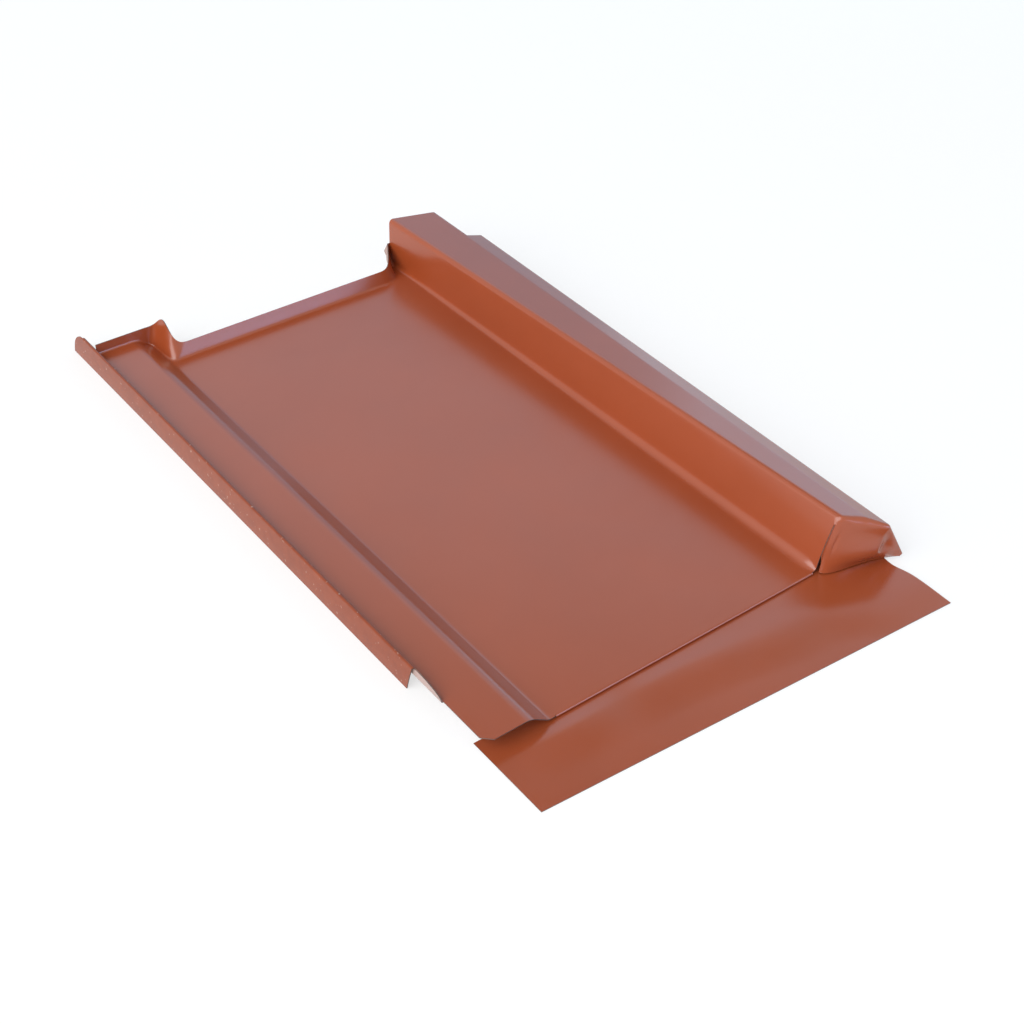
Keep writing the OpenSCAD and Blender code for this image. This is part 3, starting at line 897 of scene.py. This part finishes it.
def apronCell(i, k):
    return k >= hookRows or (apronXs[i] >= hookStart - 1e-9 and apronXs[i + 1] <= hookEnd + 1e-9)


def makeApron():
    grid = [[placed(apronPoint(i, k)) for k in range(apronRows + 1)] for i in range(len(apronXs))]
    apron = gridMesh("apronSheet", grid, apronCell)
    thicken(apron, s["apronSheet"], backMaterial, coatMaterial, edgeMaterial)
    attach(apron, "root")
    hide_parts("apron")
    return apron


apronSheet = makeApron()
print("apron", len(apronSheet.data.polygons), "faces")

studio = {
    "floorColor": (0.95, 0.95, 0.95),
    "floorSize": 24,
    "floorDrop": 0.0002,           # just under the sheet
    "floorWhite": 0.68,            # share of plain white the floor shows to the camera
    "paintRoughness": 0.9,
    "paintShine": 0.2,
    "worldLevel": 0.49,
    # lamps: place, width and height in metres, power in watts, colour
    "lamps": {
        "key": ((-3.22, -0.50, 2.35), 4.1, 4.1, 202.0, (1, 1, 1)),
        "backBox": ((0.877, 0.940, 0.773), 1.9, 0.85, 2.6, (0.2, 0.6, 1.0)),
        "sideBox": ((1.31, 0.62, 0.33), 0.75, 0.58, 1.35, (0.05, 0.60, 1.0)),
        "window": ((0.705, -1.74, 0.36), 0.96, 0.68, 14.5, (0.38, 0.60, 1.0)),
    },
    # grey card above: place, width, length, shade
    "card": ((0.84, 0.88, 2.2), 1.7, 1.3, 0.46),
    # glowing board behind, mirrored by the rib's top: place, width, height, colour
    "board": ((0.78, 1.13, 0.35), 0.98, 0.66, (0.50, 0.88, 1.18)),
}


def addPlane(name, place, width, length, color):
    mesh = bpy.data.meshes.new(name)
    x, y = width / 2, length / 2
    mesh.from_pydata([(-x, -y, 0), (x, -y, 0), (x, y, 0), (-x, y, 0)], [], [(0, 1, 2, 3)])
    plane = bpy.data.objects.new(name, mesh)
    bpy.context.scene.collection.objects.link(plane)
    plane.location = place
    material, tree, shader = nodeMaterial(name + "Paint")
    shader.inputs["Base Color"].default_value = (*color, 1)
    shader.inputs["Roughness"].default_value = studio["paintRoughness"]
    shader.inputs["Specular IOR Level"].default_value = studio["paintShine"]
    mesh.materials.append(material)
    return plane


def seenRays(tree):                # 1 for the rays that show the white background
    path = tree.nodes.new("ShaderNodeLightPath")
    total = path.outputs["Is Camera Ray"]
    for name in ("Is Glossy Ray", "Is Transmission Ray"):
        either = tree.nodes.new("ShaderNodeMath")
        either.operation = "MAXIMUM"
        tree.links.new(total, either.inputs[0])
        tree.links.new(path.outputs[name], either.inputs[1])
        total = either.outputs[0]
    return total


def addFloor():                    # pale floor, lifted toward white in view, that keeps a soft shadow
    size = studio["floorSize"]
    floor = addPlane("floor", (0, 0, -studio["floorDrop"]), size, size, studio["floorColor"])
    tree = floor.data.materials[0].node_tree
    white = tree.nodes.new("ShaderNodeEmission")
    share = tree.nodes.new("ShaderNodeMath")
    share.operation = "MULTIPLY"
    share.inputs[1].default_value = studio["floorWhite"]
    tree.links.new(seenRays(tree), share.inputs[0])
    blend = tree.nodes.new("ShaderNodeMixShader")
    tree.links.new(share.outputs[0], blend.inputs[0])
    tree.links.new(tree.nodes["Principled BSDF"].outputs[0], blend.inputs[1])
    tree.links.new(white.outputs[0], blend.inputs[2])
    tree.links.new(blend.outputs[0], tree.nodes["Material Output"].inputs["Surface"])


def addCard(place, width, length, shadeLevel):
    card = addPlane("card", place, width, length, (shadeLevel,) * 3)
    card.rotation_euler = (0, 0, -math.radians(cameraSetup["yaw"]))


def addBoard(place, width, height, color):
    board = addPlane("board", place, width, height, (0, 0, 0))
    board.rotation_euler = (-Vector(place)).to_track_quat("Z", "Y").to_euler()
    board.visible_camera = False
    shader = board.data.materials[0].node_tree.nodes["Principled BSDF"]
    shader.inputs["Emission Color"].default_value = (*color, 1)
    shader.inputs["Emission Strength"].default_value = 1


def addLamp(name, place, width, height, power, color):
    data = bpy.data.lights.new(name, "AREA")
    data.shape = "RECTANGLE"
    data.size, data.size_y = width, height
    data.energy = power
    data.color = color
    lamp = bpy.data.objects.new(name, data)
    lamp.location = place
    lamp.rotation_euler = (-Vector(place)).to_track_quat("-Z", "Y").to_euler()
    bpy.context.scene.collection.objects.link(lamp)


def setWorld():
    world = bpy.data.worlds.new("studioWorld")
    bpy.context.scene.world = world
    world.use_nodes = True
    tree = world.node_tree
    background = tree.nodes["Background"]
    background.inputs["Color"].default_value = (1, 1, 1, 1)
    background.inputs["Strength"].default_value = studio["worldLevel"]
    white = tree.nodes.new("ShaderNodeBackground")
    white.inputs["Color"].default_value = (1, 1, 1, 1)
    blend = tree.nodes.new("ShaderNodeMixShader")
    tree.links.new(seenRays(tree), blend.inputs[0])
    tree.links.new(background.outputs[0], blend.inputs[1])
    tree.links.new(white.outputs[0], blend.inputs[2])
    tree.links.new(blend.outputs[0], tree.nodes["World Output"].inputs["Surface"])


addFloor()
setWorld()
addCard(*studio["card"])
addBoard(*studio["board"])
for lampName, settings in studio["lamps"].items():
    addLamp(lampName, *settings)
bpy.context.scene.view_settings.view_transform = "Standard"
print("studio set")
